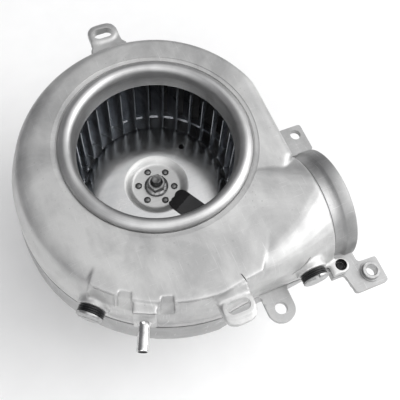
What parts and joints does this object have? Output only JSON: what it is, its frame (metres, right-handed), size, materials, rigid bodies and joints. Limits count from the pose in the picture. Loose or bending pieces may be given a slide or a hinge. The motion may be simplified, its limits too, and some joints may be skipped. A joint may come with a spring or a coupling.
{
  "type": "centrifugal blower",
  "caption": "Boiler combustion blower: cast scroll housing with a bellmouth inlet, round outlet collar, mounting lugs, forward-curved wheel and rear motor.",
  "frame": {"origin": "centre of the flat rear face of the motor's end shield, on the wheel's axis", "axes": "+Z along the wheel's axis towards the inlet, +X the way the air leaves the outlet, +Y away from the near side with the pressure nipple and plugs"},
  "size_m": [0.1711, 0.1962, 0.1129],
  "materials": {
    "aluminium": "satin die-cast surface",
    "machined_aluminium": "turned and polished",
    "steel": "bright rolled sheet and ground shaft",
    "zinc_plate": "zinc plated",
    "rubber": "matt black",
    "gasket": "matt dark grey sheet",
    "black_foil": "matt black tape",
    "lamination": "dark stacked sheet",
    "copper": "enamelled winding wire",
    "fan_plastic": "moulded black",
    "terminal_plastic": "moulded off-white",
    "brass": "plain"
  },
  "bodies": {
    "housing": {"bracket_bush": "zinc_plate", "coil_1": "copper", "coil_2": "copper", "coil_3": "copper", "coil_4": "copper", "cover_screw_1": "zinc_plate", "cover_screw_2": "zinc_plate", "cover_screw_3": "zinc_plate", "cover_screw_4": "zinc_plate", "earth_terminal": "brass", "front_bearing": "steel", "front_end_shield": "aluminium", "housing_gasket": "gasket", "inlet_ring": "machined_aluminium", "left_plug_cap": "zinc_plate", "left_plug_sleeve": "rubber", "live_terminal": "brass", "motor_grommet_1": "rubber", "motor_grommet_2": "rubber", "motor_grommet_3": "rubber", "motor_grommet_4": "rubber", "motor_screw_1": "zinc_plate", "motor_screw_2": "zinc_plate", "motor_screw_3": "zinc_plate", "motor_screw_4": "zinc_plate", "neutral_terminal": "brass", "pressure_nipple": "zinc_plate", "rear_bearing": "steel", "rear_end_shield": "aluminium", "right_plug_cap": "zinc_plate", "right_plug_sleeve": "rubber", "shaft_seal": "rubber", "stator_core": "lamination", "terminal_block": "terminal_plastic", "volute_body": "aluminium", "volute_cover": "aluminium"},
    "impeller": {"wheel_blade_strip": "steel", "wheel_front_ring": "steel", "wheel_back_plate": "steel", "wheel_hub": "steel", "wheel_nut": "zinc_plate", "balance_strip": "black_foil", "motor_shaft": "steel", "rotor_core": "lamination", "cooling_fan": "fan_plastic", "hub_rivet_1": "zinc_plate", "hub_rivet_2": "zinc_plate", "hub_rivet_3": "zinc_plate", "hub_rivet_4": "zinc_plate", "hub_rivet_5": "zinc_plate", "hub_rivet_6": "zinc_plate"}
  },
  "joints": [
    {"name": "wheel_spin", "type": "hinge", "parent": "housing", "child": "impeller", "pos_m": [0, 0, 0.075], "axis": [0, 0, 1], "continuous": true}
  ]
}
